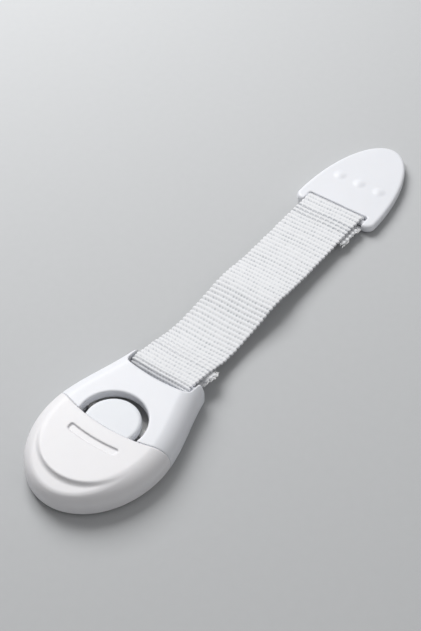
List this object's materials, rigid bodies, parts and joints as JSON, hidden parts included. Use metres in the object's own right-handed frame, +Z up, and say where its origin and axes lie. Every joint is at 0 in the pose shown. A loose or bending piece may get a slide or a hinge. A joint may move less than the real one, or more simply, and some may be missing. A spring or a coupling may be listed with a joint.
{
  "type": "cabinet safety lock",
  "caption": "Adhesive child-safety strap lock for cabinets: egg-shaped head with press button and pull-out shackle, ribbed webbing strap and a small tail plate.",
  "frame": {"origin": "under the button's centre, on the outer face of the head's adhesive pad", "axes": "+X from the head along the strap to the tail plate, +Z up from the pad, +Y across the strap"},
  "size_m": [0.2153, 0.047, 0.011],
  "materials": {
    "cap_plastic": "satin moulded plastic, white",
    "shackle_plastic": "satin moulded plastic, slightly cool white",
    "button_plastic": "satin moulded plastic, cool white",
    "base_plastic": "plain moulded plastic, white",
    "catch_plastic": "springy moulded plastic, natural white",
    "webbing": "ribbed woven webbing, white",
    "thread": "sewing thread, white",
    "foam": "closed-cell adhesive foam, white",
    "liner": "waxed release paper, off-white"
  },
  "bodies": {
    "base": {"head_liner": "liner", "head_foam": "foam", "base_plate": "base_plastic", "front_cap": "cap_plastic", "catch_spring": "catch_plastic"},
    "button": {"button": "button_plastic"},
    "shackle": {"shackle": "shackle_plastic"},
    "strap_near": {"strap_head_half": "webbing", "head_stitching": "thread"},
    "strap_far": {"strap_tail_half": "webbing", "tail_stitching": "thread"},
    "tail": {"tail_plate": "shackle_plastic", "tail_foam": "foam", "tail_liner": "liner"}
  },
  "joints": [
    {"name": "button_press", "type": "hinge", "parent": "base", "child": "button", "pos_m": [-0.018, 0, 0.00683], "axis": [0, 1, 0], "range_deg": [0, 6], "stiffness_Nm_per_rad": 0.6, "springref_deg": -2.29, "deforming": ["catch_spring"]},
    {"name": "shackle_slide", "type": "slide", "parent": "base", "child": "shackle", "axis": [1, 0, 0], "range_m": [0, 0.026]},
    {"name": "strap_swing", "type": "hinge", "parent": "shackle", "child": "strap_near", "pos_m": [0.028, 0, 0.0064], "axis": [0, -1, 0], "range_deg": [-60, 100]},
    {"name": "strap_bend", "type": "hinge", "parent": "strap_near", "child": "strap_far", "pos_m": [0.0826, 0, 0.00453], "axis": [0, -1, 0], "range_deg": [-70, 70], "stiffness_Nm_per_rad": 0.02},
    {"name": "tail_swing", "type": "hinge", "parent": "strap_far", "child": "tail", "pos_m": [0.1372, 0, 0.00265], "axis": [0, -1, 0], "range_deg": [-75, 90]}
  ]
}
